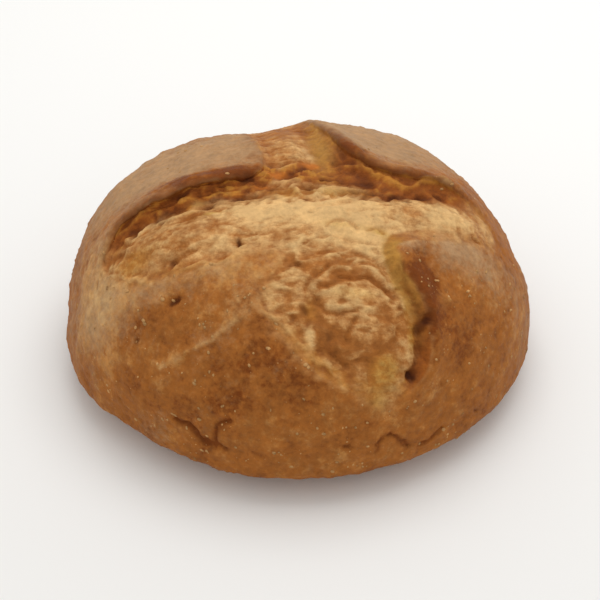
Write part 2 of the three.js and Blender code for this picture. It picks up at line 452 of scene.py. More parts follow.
# Random relief: its seed, the size of its features and its strength; sizes are in millimetres, but in
# strands for the strands and the fine strands
DRIFTS = {
    "edge": (11, 13, 1.0),
    "edge_fine": (12, 4, 0.12),
    "sway_across": (21, 10, 2.2),
    "sway_back": (22, 10, 2.2),
    "sway_fine": (23, 4, 0.9),
    "crust_broad": (31, 42, 1.0),
    "crust_patchy": (32, 15, 0.35),
    "crust_small": (33, 7, 0.42),
    "crust_fine": (34, 3.6, 0.30),
    "folds": (41, 9, 1.0),
    "folds_fine": (42, 4.2, 0.8),
    "crumb": (43, 3.2, 0.3),
    "wrinkle_lines": (44, 15, 1.0),
    "wrinkle_drift": (45, 12, 1.0),
    "strands": (51, 1.0, 1.0),
    "strand_sway": (52, 11, 1.3),
    "strands_fine": (53, 0.5, 0.4),
    "strand_holes": (54, 4.2, 1.0),
    "bake": (71, 22, 0.10),
    "ragged": (72, 6, 1.4),
    "ragged_fine": (73, 3, 0.7),
    "soft_edge": (74, 4, 2.5),
    "foot_gaps": (75, 9, 1.0),
    "ridge_gaps": (76, 7, 1.0),
    "dust": (81, 14, 1.0),
    "dust_fine": (82, 5, 0.5),
}

# Relief of the dough and the crust
OPENED_FROM_TO = (1.5, -2.0)
BASE_ROUGHNESS = 0.45
FOLDS_DRAWN_OUT = (0.55, 1, 1)
WRINKLES_DRAWN_OUT = (0.6, 1, 1)
WRINKLE_HEIGHT = 0.8
WRINKLE_WIDTH = 0.055
WRINKLES_FROM_TO = (-0.1, 0.35)
STRAND_LENGTH, STRAND_WIDTH = 22, 2.8
STRAND_HEIGHT, STRAND_HOLE_DEPTH, HOLES_FROM = 1.9, 2.4, 0.3
RING_HEIGHT, RINGS, RINGS_AT, RINGS_FADE = 0.22, 9, 0.8, 0.5
MARK_STEPS = 5
PIT_STEEPNESS = 1.5
BLISTER_SEED = 61
BLISTER_RADIUS, BLISTER_SPREAD, LOWEST_BLISTER = 0.9, 1.9, 0.4

# How high a spot is among its neighbours, which the materials use to paint light on high spots and shade in
# low ones: the shares of the dough and its pillows, and how low dough lies
LOCAL_DOUGH, LOCAL_PILLOWS, LOCAL_DROP = 1.3, 0.5, 0.3
CREST_GAIN = 0.55

# The looks along a lip, by distance: bands as (from, to), bells as (middle, width)
TORN_FOOT, TORN_EDGE = (-7.5, -4.5), (2.6, 0.8)
FULL_TORN_RISE = 3.5
BORDER, SOFT_BORDER = 1.8, 5.0
RIM = (9.0, 2.0)
# The char and painted shade along a lip's edge, and the painted shade at the edge and foot of its torn face
CHARRED_AND_SHADED, CHAR_AND_SHADE_SHARE = (1.6, 2.0), 0.5
SHADED_EDGE, SHADED_FOOT, CREVICE_SHADE_SHARE = (-0.4, 1.6), (-5.2, 1.5), 0.6
FOOT_GAPS, RIDGE_GAPS = (-0.4, 0.4), (-0.5, 0.4)

# The looks of the patches, the painted shade in the holes, the cracks and the ridges, and where the grains
# lie
# The crust is darker towards the bottom, fully below 8 mm and fading out by 40 mm
MEAN_BAKE, LOW_DOWN_DARKENING, LOW_DOWN_BAND = 0.5, 0.05, (40, 8)
FULL_HOLLOW, HOLLOW_FADE = 2.6, 1.5
FULL_CRACK = 1.6
FULL_RIDGE, RIDGE_FAIR, RIDGE_FLOUR = 1.3, 0.4, 0.3
GRAIN_EDGE, GRAIN_BASE = (2.0, -2.0), (14, 4)
DUST_DRIFTS, DUST_FRONT = (-0.2, 0.8), (10, -40)
LEAST_DUST, LEAST_DUST_BEHIND = 0.12, 0.25
GRAIN_SEED = 5
FEW_LARGE = 2.5
FLATTEST_GRAIN, FULLEST_GRAIN = (0.9, 0.7, 0.3), (1.6, 1.1, 0.5)

# Noise textures: cells to a metre, detail, roughness, distortion, and how strongly it shows
TEXTURES = {
    "bake_broad": (50, 3, 0.5, 0, 0.8),
    "bake_patchy": (130, 5, 0.65, 0, 0.6),
    "bake_fine": (420, 3, 0.6, 0, 0.5),
    "flour_drifts": (80, 4, 0.6, 0, 0.9),
    "flour_fine": (320, 4, 0.7, 0, 0.7),
    "fair": (240, 4, 0.65, 0, 1.0),
    "rim": (260, 3, 0.55, 0, 0.3),
    "dough_fibres": (330, 5, 0.68, 0.5, 1.1),
    "dough_patchy": (150, 5, 0.7, 0, 1.0),
    "dough_broad": (45, 3, 0.55, 0, 0.6),
    "dough_moist": (60, 3, 0.55, 0, 0.3),
    "dough_flour": (75, 6, 0.72, 0, 1.0),
    "torn_stripes": (1, 5, 0.6, 0.8, 1.8),
    "torn_patchy": (220, 4, 0.55, 0, 0.9),
    "pores": (900, 3, 0.55, 0, 0.3),
    "mottle_blotches": (90, 5, 0.62, 0, 0.4),
    "mottle_specks": (300, 4, 0.7, 0, 0.6),
}
GRANULES_TO_A_METRE = 620
FIBRES_DRAWN_OUT = (0.4, 1, 1)
STRANDS_TO_A_METRE = (60, 480, 1)

# Where one look gives way to the next: the value's two ends, and the shares of the new look there
BANDS = {
    "golden_to_rust": (0.05, 0.5),
    "rust_to_chestnut": (0.5, 0.95),
    "crust_to_flour": (0.05, 0.95),
    "crust_to_fair": (0.05, 0.95, 0, 0.75),
    "crust_to_rim": (0, 1, 0, 0.8),
    "rust_to_ochre": (-0.1, 0.55),
    "ochre_to_dough": (0.2, 1.15),
    "amber_to_olive": (0, 0.7),
    "dough_to_olive": (0.2, 1, 0, 0.8),
    "dough_to_flour": (0.45, 0.65, 0, 0.4),
    "chestnut_to_mahogany": (-0.1, 0.35),
    "mahogany_to_amber": (0.25, 0.75),
    "amber_to_golden": (0.7, 1.1, 0, 0.8),
    "torn_to_painted_shade": (0, 0.9, 0, 0.8),
    "to_painted_glow": (0.1, 0.9, 0, 0.8),
    "crust_roughness": (0.3, 0.7, 0.5, 0.72),
    "grain_roughness": (0.3, 0.7, 0.5, 0.8),
    "crust_specular": (0, 1, 0.1, 0.14),
}

# How strongly one thing shows in another
WEIGHTS = {
    "granules_in_bake": 0.16,
    "crest_shading_in_bake": -0.9,
    "crests_in_flour": 0.15,
    "crests_in_fair_crust": 0.7,
    "crest_shading_in_dough": 1.2,
    "browning_in_dough": -0.65,
    "flour_in_dough": 0.2,
    "brown_in_floury_dough": 0.3,
    "cracks_in_dough": 0.6,
    "cracks_in_crust": 0.65,
    "scorch_in_torn_face": 0.45,
    "olive_in_torn_face": 0.6,
    "height_in_crevice_shade": 0.5,
    "painted_shade_in_hollows": 0.9,
    "granules_in_bump": 0.12,
    "fibres_in_bump": 0.8,
    "mottle_in_crust": 0.36,
    "mottle_in_grains": 0.8,
}
MOTTLE_CONTRAST = 4.0
BUMP_STRENGTH, BUMP_DEPTH = 0.7, 0.0011
GRAIN_SPECULAR = 0.08
FLOOR_ROUGHNESS, FLOOR_SPECULAR = 0.9, 0.1

# The stage, in metres and degrees
SKY_COLOUR = (1.0, 0.985, 0.96, 1)
KEY_PLACE, KEY_LEAN, KEY_WIDTH = (0.15, 0.35, 1.1), (18, 0, 0), 0.9
CAMERA_TURNS_ABOUT = (0, 0, 0.050)
CAMERA_AIM = (0.0011, -0.0085, 0.0399)


def number_setting(name, description, default, **more):
    return bpy.props.FloatProperty(name=name, description=description, default=default, **more)


def length_setting(name, description, default):
    return number_setting(name, description, default, unit="LENGTH")


class CrustSettings(bpy.types.PropertyGroup):
    """Sizes of the loaf and how rough it baked"""

    width: length_setting("Width", "From left to right, before the lips are lifted", CAD_HIGH.x - CAD_LOW.x)
    depth: length_setting("Depth", "From front to back", CAD_HIGH.y - CAD_LOW.y)
    lip_lift: number_setting("Lip lift", "Share of the full rise of the petals' lips", 1.0, min=0.0)
    crust_relief: length_setting("Crust relief", "Height of the crust's gentle unevenness", 0.0011)
    dough_relief: length_setting("Dough relief", "Height of the torn dough's roughness", 0.0011)
    blister_count: bpy.props.IntProperty(
        name="Blisters",
        description="How many small blisters rise on the crust",
        default=1500,
    )
    blister_height: length_setting("Blister height", "Height of the tallest blisters", 0.0006)


class GrainSettings(bpy.types.PropertyGroup):
    """The coarse flour and semolina baked onto the crust"""

    density: number_setting("Density", "Grains on a square metre of well dusted crust", 58000.0)
    smallest: length_setting("Smallest", "Radius of the smallest grains", 0.00018)
    largest: length_setting("Largest", "Radius of the largest grains", 0.0011)


def colour_setting(name, description, default):
    return bpy.props.FloatVectorProperty(
        name=name,
        description=description,
        default=default,
        subtype="COLOR",
        min=0.0,
        max=1.0,
    )


class ColourSettings(bpy.types.PropertyGroup):
    """The colours of the crust, the burst dough, the flour, the painted glow and shade, and the stage"""

    golden: colour_setting("Golden", "Lightly baked crust", (0.47, 0.21, 0.055))
    rust: colour_setting("Rust", "Evenly baked crust", (0.32, 0.108, 0.019))
    mahogany: colour_setting("Mahogany", "Smooth dark crust inside the cuts", (0.28, 0.078, 0.010))
    chestnut: colour_setting("Chestnut", "Well baked crust", (0.17, 0.042, 0.005))
    flour: colour_setting("Flour", "Flour baked onto the crust", (0.40, 0.232, 0.112))
    dough: colour_setting("Dough", "Burst dough that baked pale", (0.675, 0.42, 0.175))
    ochre: colour_setting("Ochre", "Burst dough that baked brown", (0.39, 0.155, 0.037))
    olive: colour_setting("Olive", "Burst dough that stayed moist", (0.50, 0.285, 0.062))
    amber: colour_setting("Amber", "The torn face under a lip", (0.46, 0.185, 0.026))
    # The colour of the painted glow on thin moist dough
    painted_glow: colour_setting("Ember", "The reddest moist spots", (0.47, 0.14, 0.018))
    # Nearly black: the charred lip edges, and the painted shade under the lips, in the torn faces' crevices
    # and in the holes
    char: colour_setting("Char", "The darkest lip edges", (0.06, 0.013, 0.003))
    grain: colour_setting("Grain", "Semolina grains", (0.43, 0.235, 0.09))
    floor: colour_setting("Floor", "The stage's floor", (0.86, 0.86, 0.85))


class StageSettings(bpy.types.PropertyGroup):
    """The floor, the lights and the camera"""

    floor_width: length_setting("Floor width", "Side of the square floor", 6.0)
    sky_strength: number_setting("Sky strength", "Brightness of the even light from all sides", 0.80)
    key_power: number_setting("Key power", "Power of the large overhead light", 6.0, unit="POWER")
    camera_elevation: number_setting(
        "Camera elevation",
        "How far above level the camera stands",
        math.radians(40),
        subtype="ANGLE",
    )
    camera_distance: length_setting("Camera distance", "From the loaf's middle to the camera", 0.803)
    lens: number_setting("Lens", "Focal length on a 36 mm wide sensor, in millimetres", 90.96)


def ramp(value, low, high):
    """0 below low, 1 above high, smooth between; low may be above high"""
    share = np.clip((value - low) / (high - low), 0, 1)
    return share * share * (3 - 2 * share)


def turned(across, back, degrees):
    angle = math.radians(degrees)
    along = across * math.cos(angle) + back * math.sin(angle)
    beside = back * math.cos(angle) - across * math.sin(angle)
    return along, beside


def patch_sum(patches, across, back):
    total = np.zeros_like(across)
    for x, y, reach_x, reach_y, amount in patches:
        u = (across - x) / reach_x
        v = (back - y) / reach_y
        total += amount * np.exp(-(u * u + v * v))
    return total


def bell(value, middle, width):
    """1 at the middle, falling off smoothly to both sides"""
    return np.exp(-(((value - middle) / width) ** 2))


class Wander:
    """Smooth random relief: three-dimensional gradient noise, the same for the same seed"""

    CELLS = 256
    GAIN = 1.7
    SHARPNESS = 2.2

    def __init__(self, seed):
        draw = np.random.default_rng(seed)
        self.order = np.tile(draw.permutation(self.CELLS), 3)
        ways = draw.normal(size=(self.CELLS, 3))
        self.ways = ways / np.linalg.norm(ways, axis=1)[:, None]

    def at(self, points, size):
        spot = points / size
        cell = np.floor(spot).astype(int)
        inside = spot - cell
        fade = inside**3 * (inside * (inside * 6 - 15) + 10)
        total = np.zeros(len(points))
        for corner in itertools.product((0, 1), repeat=3):
            x, y, z = ((cell + corner) % self.CELLS).T
            pick = self.order[self.order[self.order[x] + y] + z]
            slope = ((inside - corner) * self.ways[pick]).sum(1)
            total += slope * np.where(corner, fade, 1 - fade).prod(1)
        return total * self.GAIN

    def ridges(self, points, size):
        """Sharp-crested folds, from 0 in the valleys to 1 on the crests"""
        return 1 - np.minimum(1, np.abs(self.at(points, size)) * self.SHARPNESS)


def drift(name, points):
    """The random relief that DRIFTS describes under a name"""
    seed, size, strength = DRIFTS[name]
    return strength * Wander(seed).at(points, size)


def fold(name, points):
    """The same as sharp-crested folds, as much above the surface as below it"""
    seed, size, strength = DRIFTS[name]
    return strength * (Wander(seed).ridges(points, size) - 0.5)


class LoafForm:
    """The smooth loaf before it is torn and lifted: a dome on a shallower underside"""

    STEPS = 1500

    def __init__(self, width, depth):
        self.mean_radius = (width + depth) / 4
        self.ovalness = (width - depth) / (width + depth)
        quarter = np.linspace(0, math.pi / 2, self.STEPS)
        sine, cosine = np.sin(quarter), np.clip(np.cos(quarter), 0, 1)
        dome_r = sine ** (2 / DOME_FULLNESS[0])
        dome_z = WIDEST_AT + (CROWN_HEIGHT - WIDEST_AT) * cosine ** (2 / DOME_FULLNESS[1])
        under_r = cosine ** (2 / UNDERSIDE_FULLNESS[0])
        under_z = WIDEST_AT - (WIDEST_AT + SOLE_SAG) * sine ** (2 / UNDERSIDE_FULLNESS[1])
        self.radius = self.mean_radius * np.concatenate([dome_r, under_r[1:]])
        self.height = np.concatenate([dome_z, under_z[1:]])
        steps = np.hypot(np.diff(self.radius), np.diff(self.height))
        self.arc = np.concatenate([[0], np.cumsum(steps)])
        self.length = self.arc[-1]
        self.slope = np.gradient(self.height, self.arc)
        self.reach = np.gradient(self.radius, self.arc)

    def share(self, direction):
        return 1 + self.ovalness * np.cos(2 * direction) + FRONT_SWELL * np.sin(3 * direction)

    def place(self, across, back):
        """The surface points and the outward normals at crust coordinates"""
        direction = np.arctan2(back, across)
        share = self.share(direction)
        arc = np.minimum(np.hypot(across, back) / share, self.length)
        radius = np.interp(arc, self.arc, self.radius) * share
        out = -np.interp(arc, self.arc, self.slope)
        up = np.interp(arc, self.arc, self.reach)
        cosine, sine = np.cos(direction), np.sin(direction)
        height = np.interp(arc, self.arc, self.height)
        points = np.stack([radius * cosine, radius * sine, height], 1)
        normals = np.stack([out * cosine, out * sine, up], 1)
        return points, normals / np.linalg.norm(normals, axis=1)[:, None]


def smooth_line(points, steps):
    """A smooth curve through the points, by cubic steps between them"""
    given = np.array(points, float)
    padded = np.vstack([2 * given[0] - given[1], given, 2 * given[-1] - given[-2]])
    share = np.linspace(0, 1, steps, endpoint=False)[:, None]
    spans = []
    for a, b, c, d in zip(padded, padded[1:], padded[2:], padded[3:]):
        cubic = 3 * b - 3 * c + d - a
        square = 2 * a - 5 * b + 4 * c - d
        spans.append(0.5 * (2 * b + share * (c - a + share * (square + share * cubic))))
    return np.vstack([*spans, given[-1]])


def nearest_on(line, across, back):
    """For each place: distance to the line, the way to it, the segment and the share along it"""
    best = np.full(len(across), np.inf)
    way = np.zeros((len(across), 2))
    segment = np.zeros(len(across), int)
    along = np.zeros(len(across))
    for i, (start, end) in enumerate(zip(line[:, :2], line[1:, :2])):
        run = end - start
        x, y = across - start[0], back - start[1]
        share = np.clip((x * run[0] + y * run[1]) / max(run @ run, 1e-9), 0, 1)
        dx, dy = share * run[0] - x, share * run[1] - y
        squared = dx * dx + dy * dy
        closer = squared < best
        best = np.where(closer, squared, best)
        way[closer] = np.stack([dx[closer], dy[closer]], 1)
        segment[closer] = i
        along[closer] = share[closer]
    return np.sqrt(best), way, segment, along


class Opening:
    """The cross that burst open: the closed outline along the four lips, and what each lip does there"""

    TRAITS = ("hang", "undercut", "sink", "char", "strings", "scorch")

    def __init__(self):
        rows = []
        for lip in LIPS.values():
            line = smooth_line(lip["points"], LIP_STEPS)
            rise = np.clip(line[:, 2], 0, None)
            strength = rise / max(point[2] for point in lip["points"])
            traits = [lip[name] * strength for name in self.TRAITS]
            traits += [1 + (lip["spread"] - 1) * strength, np.full(len(line), lip["soft"])]
            rows.append(np.column_stack([line[:, :2], rise, *traits]))
        closed = np.vstack([*rows, rows[0][:1]])
        runs = np.hypot(*np.diff(closed[:, :2], axis=0).T)
        self.line = np.column_stack([closed, np.concatenate([[0], np.cumsum(runs)])])

    def holds(self, across, back):
        """Whether each place is inside the outline, by counting the crossings on one side of it"""
        inside = np.zeros(len(across), bool)
        for (x0, y0), (x1, y1) in zip(self.line[:, :2], self.line[1:, :2]):
            crossed = (y0 > back) != (y1 > back)
            if y0 == y1:
                continue
            inside ^= crossed & (across < x0 + (back - y0) * (x1 - x0) / (y1 - y0))
        return inside

    def measure(self, across, back):
        """The signed distance, the way from the opening to the crust, and the lip's traits there"""
        distance, way, segment, share = nearest_on(self.line, across, back)
        side = np.where(self.holds(across, back), -1.0, 1.0)
        outward = -side[:, None] * way / np.maximum(distance, 1e-6)[:, None]
        low, high = self.line[segment], self.line[segment + 1]
        values = low + (high - low) * share[:, None]
        names = ("rise", *self.TRAITS, "spread", "soft", "along")
        traits = dict(zip(names, values[:, 2:].T))
        return side * distance, outward, traits


def lip_section(distance):
    """The four columns of LIP_SECTION at each distance, with their corners rounded"""
    table = np.array(LIP_SECTION)
    fine = np.arange(table[0, 0] - SECTION_MARGIN, table[-1, 0] + SECTION_MARGIN, SECTION_STEP)
    reach = np.arange(-SOFTENING_REACH, SOFTENING_REACH + SECTION_STEP / 10, SECTION_STEP)
    kernel = np.exp(-0.5 * (reach / SECTION_SOFTNESS) ** 2)
    kernel /= kernel.sum()
    columns = []
    for column in table[:, 1:].T:
        soft = np.convolve(np.interp(fine, table[:, 0], column), kernel, mode="same")
        columns.append(np.interp(distance, fine, soft))
    return columns


def mounds(rows, across, back):
    """Each oval's amount, with a measure that is 0 in its middle and 1 on its rim"""
    for x, y, length, width, turn, amount in rows:
        u, v = turned(across - x, back - y, turn)
        yield amount, (u / length) ** 2 + (v / width) ** 2


def pillow_height(across, back):
    """Pillows of dough that meet in creases: the tallest one shows"""
    tallest = np.zeros_like(across)
    wrinkles = np.zeros_like(across)
    for height, squared in mounds(PILLOWS, across, back):
        pillow = height * np.sqrt(np.clip(1 - squared, 0, 1))
        rings = RING_HEIGHT * np.cos(RINGS * np.sqrt(squared))
        rings = rings * np.exp(-((squared - RINGS_AT) ** 2) / RINGS_FADE)
        wrinkles = np.where(pillow > tallest, rings, wrinkles)
        tallest = np.maximum(tallest, pillow)
    return tallest + wrinkles


def pit_depth(across, back):
    return sum(depth * np.exp(-(gap**PIT_STEEPNESS)) for depth, gap in mounds(PITS, across, back))


def line_height(marks, across, back):
    """The highest of the marks drawn along lines: (points, half width, height) for each"""
    total = np.zeros_like(across)
    for points, half_width, height in marks:
        distance = nearest_on(smooth_line(points, MARK_STEPS), across, back)[0]
        total = np.maximum(total, height * bell(distance, 0, half_width))
    return total


def blister_relief(points, count, height):
    """Small round blisters: random bumps with steep sides"""
    tree = kdtree.KDTree(len(points))
    for i, point in enumerate(points):
        tree.insert(point, i)
    tree.balance()
    draw = np.random.default_rng(BLISTER_SEED)
    relief = np.zeros(len(points))
    for centre in draw.integers(0, len(points), count):
        radius = BLISTER_RADIUS + BLISTER_SPREAD * draw.random() ** 2
        tall = height * (LOWEST_BLISTER + (1 - LOWEST_BLISTER) * draw.random())
        for _, index, gap in tree.find_range(points[centre], radius):
            relief[index] = max(relief[index], tall * math.sqrt(1 - (gap / radius) ** 2))
    return relief


def ball_mesh():
    """A ball made of a cube's even grid of quads"""
    grid = bmesh.new()
    bmesh.ops.create_cube(grid, size=2)
    bmesh.ops.subdivide_edges(grid, edges=grid.edges[:], cuts=CUBE_CUTS, use_grid_fill=True)
    mesh = bpy.data.meshes.new("sourdough_loaf")
    grid.to_mesh(mesh)
    grid.free()
    return mesh


def points_of(mesh):
    flat = np.empty(len(mesh.vertices) * 3)
    mesh.vertices.foreach_get("co", flat)
    return flat.reshape(-1, 3)


def write_attribute(mesh, name, values):
    attribute = mesh.attributes.new(name, "FLOAT", "POINT")
    attribute.data.foreach_set("value", values.astype(np.float32))


class LoafShaper:
    """Lays a ball's points out along the crust, then lifts the lips and raises the dough"""

    def __init__(self, crust):
        self.crust = crust
        self.form = LoafForm(crust.width / MM, crust.depth / MM)
        self.opening = Opening()

    def crust_coordinates(self, ball):
        """Spreads the ball's points over the loaf, closer together along the lips"""
        cube = np.tan(ball * math.pi / 4)
        ways = cube / np.linalg.norm(cube, axis=1)[:, None]
        direction = np.arctan2(ways[:, 1], ways[:, 0])
        turn = np.arccos(np.clip(ways[:, 2], -1, 1)) / math.pi
        arc = TOP_SHARE * turn + (1 - TOP_SHARE) * turn**3
        reach = arc * self.form.length * self.form.share(direction)
        across, back = reach * np.cos(direction), reach * np.sin(direction)
        distance, way, _, _ = nearest_on(self.opening.line, across, back)
        pull = GATHER * np.exp(-((distance / GATHER_REACH) ** 2))
        return across + way[:, 0] * pull, back + way[:, 1] * pull

    def shape(self, mesh):
        across, back = self.crust_coordinates(points_of(mesh))
        body, _ = self.form.place(across, back)
        distance, outward, traits = self.opening.measure(across, back)
        distance = distance + drift("edge", body) + drift("edge_fine", body)

        spread = np.where(distance < 0, distance / np.maximum(traits["spread"], LEAST_SPREAD), distance)
        over, under, up, down = lip_section(spread)
        lift = self.crust.lip_lift
        shift = over * traits["hang"] - under * traits["undercut"]
        across = across - lift * shift * outward[:, 0]
        back = back - lift * shift * outward[:, 1]
        body, normals = self.form.place(across, back)

        lips = lift * (up * traits["rise"] + down * traits["sink"])
        relief, local = self.relief(across, back, body, spread, traits)
        offset = lips + relief
        points = body + normals * offset[:, None]
        height = points[:, 2]
        points[:, 2] = 0.5 * (height + np.hypot(height, SOLE_EDGE))
        points[:, 2] -= points[:, 2].min()
        self.write_masks(mesh, across, back, body, spread, traits, local)
        return points

    def relief(self, across, back, body, distance, traits):
        """How far the surface stands off the smooth body, and how high each spot is among its neighbours"""
        opened = ramp(distance, *OPENED_FROM_TO)
        crust = 1 - opened
        swayed = self.swayed(across, back)
        plan = swayed[:, 0], swayed[:, 1]
        scale = self.crust.crust_relief / MM
        fine = drift("crust_small", body) + drift("crust_fine", body)
        crust_relief = scale * (drift("crust_broad", body) + drift("crust_patchy", body) + crust * fine)
        dough_relief = self.dough_relief(across, back, body, swayed)
        pillows = pillow_height(*plan)
        details = line_height(RIDGES, *plan) - (pit_depth(*plan) + line_height(CREASES, *plan))
        stringy = self.torn_face(distance, traits) * traits["strings"] * self.strings(distance, body, traits)
        blisters = blister_relief(body, self.crust.blister_count, self.crust.blister_height / MM)
        local = opened * (LOCAL_DOUGH * dough_relief + LOCAL_PILLOWS * pillows - LOCAL_DROP)
        local += details + stringy + crust * blisters + crust * scale * fine
        relief = patch_sum(SWELLS, across, back) + crust_relief + details + stringy
        relief += opened * (dough_relief + pillows) + crust * blisters
        return relief, local

    def swayed(self, across, back):
        """The places in plan, pushed about so that what lies on them wavers"""
        plan = np.stack([across, back, np.zeros_like(across)], 1)
        sway = np.stack([drift("sway_across", plan), drift("sway_back", plan), 0 * across], 1)
        return plan + sway + drift("sway_fine", plan)[:, None] * (1, 1, 0)

    def dough_relief(self, across, back, body, swayed):
        """Folds, crumb and wrinkles of the burst dough"""
        rough = BASE_ROUGHNESS + patch_sum(ROUGH_DOUGH, across, back)
        drawn = swayed * FOLDS_DRAWN_OUT
        folds = fold("folds", drawn) + fold("folds_fine", drawn) + drift("crumb", body)
        return (self.crust.dough_relief / MM) * rough * folds - self.wrinkles(swayed)

    def wrinkles(self, plan):
        """Thin wavering lines where the dough's skin wrinkled"""
        line = bell(drift("wrinkle_lines", plan * WRINKLES_DRAWN_OUT), 0, WRINKLE_WIDTH)
        return WRINKLE_HEIGHT * line * ramp(drift("wrinkle_drift", plan), *WRINKLES_FROM_TO)

    def strings(self, distance, body, traits):
        """Strands of dough pulled along the torn face, broken by small holes"""
        beside = (distance + drift("strand_sway", body)) / STRAND_WIDTH
        strands = np.stack([traits["along"] / STRAND_LENGTH, beside, 0 * distance], 1)
        pulled = fold("strands", strands) + drift("strands_fine", strands)
        holes = np.clip(drift("strand_holes", body) - HOLES_FROM, 0, 1)
        return STRAND_HEIGHT * pulled - STRAND_HOLE_DEPTH * holes

    def torn_face(self, distance, traits):
        """1 on the torn face between a lip's edge and its foot, 0 elsewhere"""
        face = ramp(distance, *TORN_FOOT) * ramp(distance, *TORN_EDGE)
        return face * np.clip(traits["rise"] / FULL_TORN_RISE, 0, 1)

    def write_masks(self, mesh, across, back, body, distance, traits, local):
        """What the materials need to know about each place on the loaf"""
        ragged = distance + drift("ragged", body) + drift("ragged_fine", body)
        border = BORDER + SOFT_BORDER * traits["soft"]
        opened = ramp(ragged + traits["soft"] * drift("soft_edge", body), border, -border)
        masks = {
            "opened": opened,
            "scorch": traits["scorch"],
            "stringy": traits["strings"],
            # How high a spot stands among its neighbours; the materials paint light on the high spots and
            # shade in the low ones from it
            "crest_shading": 0.5 + 0.5 * np.tanh(CREST_GAIN * local),
            "grain_ground": self.grain_cover(across, back, body, distance),
            **self.lip_masks(across, back, body, distance, ragged, opened, traits),
            **self.crust_masks(across, back, body, opened),
        }
        for name, patches in SPOT_MASKS.items():
            masks[name] = np.clip(patch_sum(patches, across, back), 0, 1)
        for name, values in masks.items():
            write_attribute(mesh, name, values)
        strand = mesh.attributes.new("strand", "FLOAT_VECTOR", "POINT")
        places = np.stack([traits["along"], distance, 0 * distance], 1) * MM
        strand.data.foreach_set("vector", places.astype(np.float32).ravel())

    def lip_masks(self, across, back, body, distance, ragged, opened, traits):
        """The torn faces, the browned rims, the lip edges darkened by char and painted shade, and the
        painted shade at a face's edge and foot
        """
        torn = self.torn_face(distance + 0.5 * (ragged - distance), traits)
        foot = bell(ragged, *SHADED_FOOT) * ramp(drift("foot_gaps", body), *FOOT_GAPS)
        # Painted shade under the lip's edge and at the torn face's foot
        crevice_shade = CREVICE_SHADE_SHARE * (bell(distance, *SHADED_EDGE) + foot) * traits["strings"]
        return {
            "torn": np.clip(torn + patch_sum(TORN_SPOTS, across, back), 0, 1),
            # The lip's charred edge, with painted shade under it
            "char": CHAR_AND_SHADE_SHARE * traits["char"] * bell(ragged, *CHARRED_AND_SHADED),
            "rim": ramp(ragged, *RIM) * (1 - opened) * traits["char"],
            "crevice_shade": np.clip(crevice_shade, 0, 1),
        }

    def crust_masks(self, across, back, body, opened):
        """How dark the crust baked and how much darker it is low down, where flour lies, the painted shade
        in the holes, and the cracks and ridges
        """
        bake = MEAN_BAKE + drift("bake", body) + patch_sum(BAKE_PATCHES, across, back)
        ridges = np.clip(line_height(RIDGES, across, back) / FULL_RIDGE, 0, 1) * (1 - opened)
        ridges = ridges * ramp(drift("ridge_gaps", body), *RIDGE_GAPS)
        fair = patch_sum(FAIR_CRUST, across, back) + RIDGE_FAIR * ridges
        flour = patch_sum(FLOUR_PATCHES, across, back) + RIDGE_FLOUR * ridges
        return {
            # Darker towards the bottom
            "bake": np.clip(bake + LOW_DOWN_DARKENING * ramp(body[:, 2], *LOW_DOWN_BAND), 0, 1),
            "fair": np.clip(fair, 0, 1),
            "flour": np.clip(flour, 0, 1),
            # Painted shade in the holes, deepest where they are deepest
            "hollow_shade": np.clip(pit_depth(across, back) / FULL_HOLLOW, 0, 1) ** HOLLOW_FADE,
            "crack": np.clip(line_height(CREASES, across, back) / FULL_CRACK, 0, 1),
        }

    def grain_cover(self, across, back, body, distance):
        """How thickly the crust is dusted, in drifts, away from its lower edge"""
        ground = (1 - ramp(distance, *GRAIN_EDGE)) * (1 - ramp(body[:, 2], *GRAIN_BASE))
        drifts = ramp(drift("dust", body) + drift("dust_fine", body), *DUST_DRIFTS)
        front = ramp(back, *DUST_FRONT)
        cover = LEAST_DUST_BEHIND + (1 - LEAST_DUST_BEHIND) * front
        return ground * cover * (LEAST_DUST + (1 - LEAST_DUST) * drifts)


# Material building


